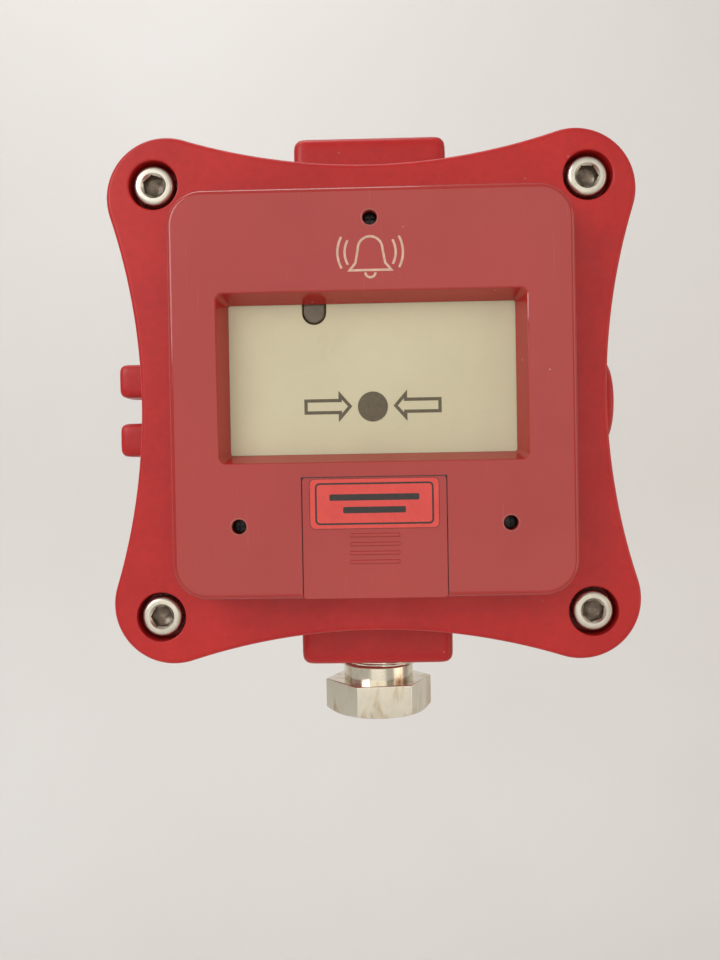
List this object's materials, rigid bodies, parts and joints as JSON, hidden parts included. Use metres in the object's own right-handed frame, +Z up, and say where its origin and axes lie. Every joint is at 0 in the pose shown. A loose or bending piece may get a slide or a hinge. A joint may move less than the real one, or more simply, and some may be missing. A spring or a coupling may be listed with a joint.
{
  "type": "manual call point",
  "caption": "Wall-mounted manual fire call point: screwed lobed metal housing, moulded front with a press panel and sliding jack door, hex cable gland below.",
  "frame": {"origin": "middle of the housing's flat back face, where it rests on the wall", "axes": "+Z up along the wall, +Y into the wall so that the front faces -Y, +X to the right as seen from the front"},
  "size_m": [0.1385, 0.0733, 0.1552],
  "materials": {
    "red_paint": "semi-gloss red powder coat on cast alloy",
    "red_plastic": "glossy red moulding",
    "cream_plastic": "smooth cream moulding",
    "black_plastic": "matt black moulding",
    "smoked_lens": "smoked indicator lens",
    "led_red": "clear red epoxy",
    "label_red": "printed film label",
    "nickel": "bright nickel plate",
    "steel": "plain steel",
    "black_steel": "black oxide steel",
    "brass": "machined brass",
    "rubber": "black rubber",
    "board_green": "green circuit board",
    "terminal_green": "moulded terminal block"
  },
  "bodies": {
    "housing": {"body_shell": "red_paint", "lid": "red_paint", "lid_seal": "rubber", "lid_screw_top_left": "nickel", "lid_screw_top_right": "nickel", "lid_screw_bottom_left": "nickel", "lid_screw_bottom_right": "nickel", "lid_washer_top_left": "steel", "lid_washer_top_right": "steel", "lid_washer_bottom_left": "steel", "lid_washer_bottom_right": "steel", "front_cover": "red_plastic", "unit_base": "black_plastic", "base_screw_top": "black_steel", "base_screw_lower_left": "black_steel", "base_screw_lower_right": "black_steel", "indicator_lens": "smoked_lens", "alarm_led": "led_red", "unit_board": "board_green", "phone_jack": "black_plastic", "detent_spring_left": "steel", "detent_spring_right": "steel", "rod_bush": "brass", "rod_spring": "steel", "micro_switch": "black_plastic", "circuit_board": "board_green", "board_screw_top_left": "steel", "board_screw_top_right": "steel", "board_screw_bottom_left": "steel", "board_screw_bottom_right": "steel", "terminal_block": "terminal_green", "terminal_screw_1": "steel", "terminal_screw_2": "steel", "terminal_screw_3": "steel", "terminal_screw_4": "steel", "inner_earth_screw": "nickel", "inner_earth_washer": "nickel", "outer_earth_screw": "nickel", "outer_earth_washer": "steel", "outer_earth_clamp": "nickel", "gland_seal": "rubber", "stopping_plug": "nickel", "plug_gasket": "rubber"},
    "panel": {"press_panel": "cream_plastic"},
    "rod": {"push_rod": "steel", "rod_retainer": "black_steel"},
    "plunger": {"switch_plunger": "cream_plastic"},
    "door": {"jack_door": "red_plastic", "warning_label": "label_red"},
    "gland_stack": {"gland_washer": "steel", "blanking_disc": "steel"},
    "nut": {"gland_nut": "nickel"}
  },
  "joints": [
    {"name": "panel_press", "type": "slide", "parent": "housing", "child": "panel", "axis": [0, 1, 0], "range_m": [0, 0.0018]},
    {"name": "rod_slide", "type": "slide", "parent": "housing", "child": "rod", "axis": [0, 1, 0], "range_m": [0, 0.0018], "deforming": ["rod_spring"]},
    {"name": "plunger_slide", "type": "slide", "parent": "housing", "child": "plunger", "axis": [0, 1, 0], "range_m": [0, 0.0018]},
    {"name": "door_slide", "type": "slide", "parent": "housing", "child": "door", "axis": [0, 0, -1], "range_m": [0, 0.022]},
    {"name": "gland_travel", "type": "slide", "parent": "housing", "child": "gland_stack", "axis": [0, 0, -1], "range_m": [0, 0.00544]},
    {"name": "nut_turn", "type": "hinge", "parent": "gland_stack", "child": "nut", "pos_m": [0, -0.026, -0.0694], "axis": [0, 0, -1], "range_deg": [0, 1080]}
  ],
  "couplings": [
    {"joint": "rod_slide", "follows": "panel_press", "ratio": 1},
    {"joint": "plunger_slide", "follows": "panel_press", "ratio": 1},
    {"joint": "nut_turn", "follows": "gland_travel", "rad_per_m": 3463.1}
  ]
}
